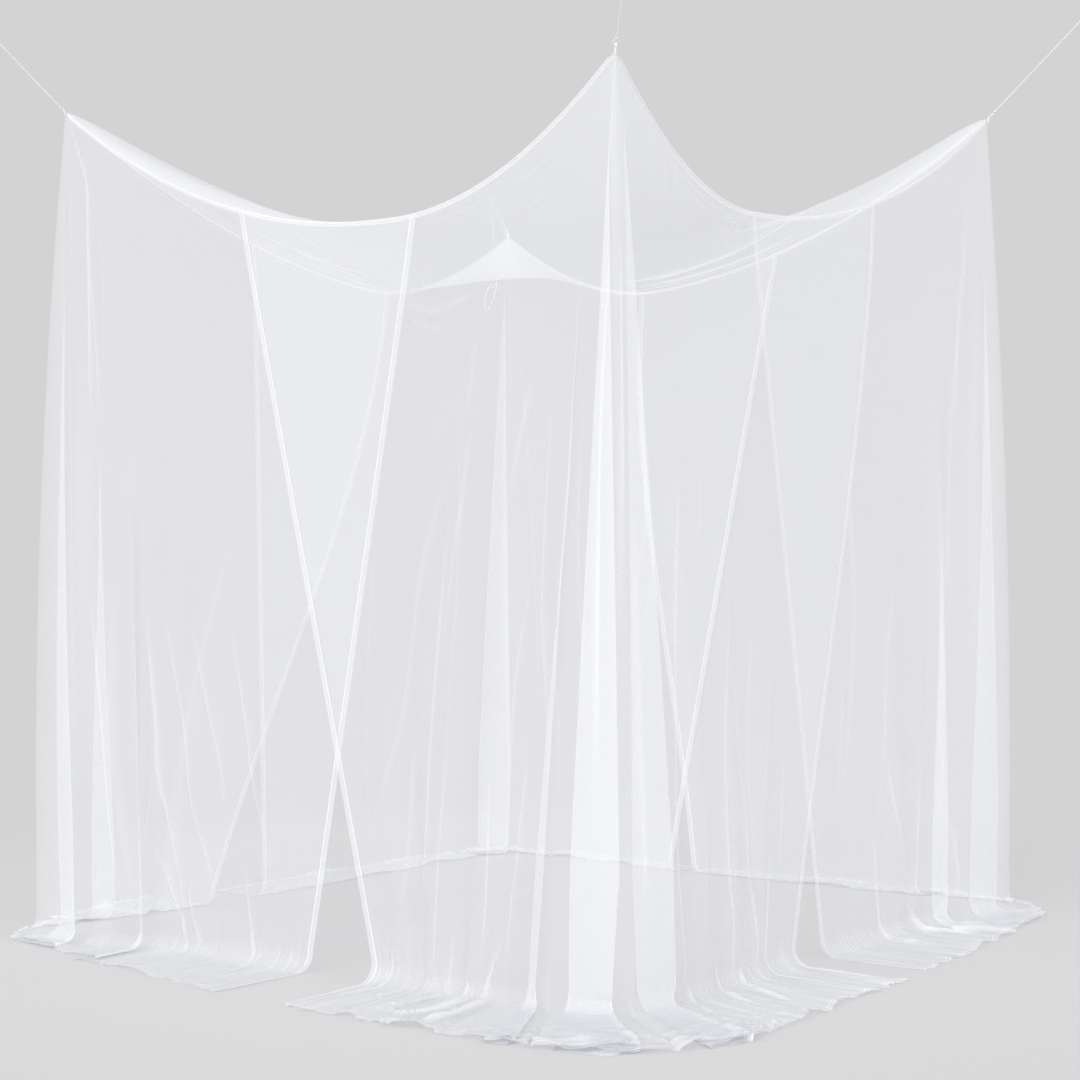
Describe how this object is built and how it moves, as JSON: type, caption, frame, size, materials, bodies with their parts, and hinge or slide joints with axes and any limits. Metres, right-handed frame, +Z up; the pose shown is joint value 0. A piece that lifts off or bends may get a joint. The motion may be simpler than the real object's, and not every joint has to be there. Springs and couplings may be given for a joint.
{
  "type": "mosquito net canopy",
  "caption": "Box-shaped sheer netting canopy hung by cords at its top corners, with a sagging roof and overlapping walls that part as doors and trail on the floor.",
  "frame": {"origin": "on the floor, under the middle of the spread hem", "axes": "+Z up, +X and +Y along the roof's two sides from the near left wall to the right and from the front to the back"},
  "size_m": [2.5058, 2.5534, 2.6687],
  "materials": {
    "net": "sheer knitted polyester netting",
    "tape": "woven cotton tape",
    "cord": "twisted cotton cord"
  },
  "bodies": {
    "root": {"roof_panel": "net", "wall_panel_near": "net", "wall_panel_left": "net", "wall_panel_right": "net", "wall_panel_back": "net", "seam_tape_front_left": "tape", "seam_tape_front_right": "tape", "seam_tape_rear_left": "tape", "seam_tape_rear_right": "tape", "corner_loop_near": "tape", "corner_loop_left": "tape", "corner_loop_right": "tape", "corner_loop_back": "tape", "cord_noose_near": "cord", "cord_knot_near": "cord", "hang_cord_near": "cord", "hook_knot_near": "cord", "hook_eye_near": "cord", "cord_noose_left": "cord", "cord_knot_left": "cord", "hang_cord_left": "cord", "hook_knot_left": "cord", "hook_eye_left": "cord", "cord_noose_right": "cord", "cord_knot_right": "cord", "hang_cord_right": "cord", "hook_knot_right": "cord", "hook_eye_right": "cord", "cord_noose_back": "cord", "cord_knot_back": "cord", "hang_cord_back": "cord", "sliding_knot": "cord", "lower_knot": "cord"}
  },
  "joints": []
}
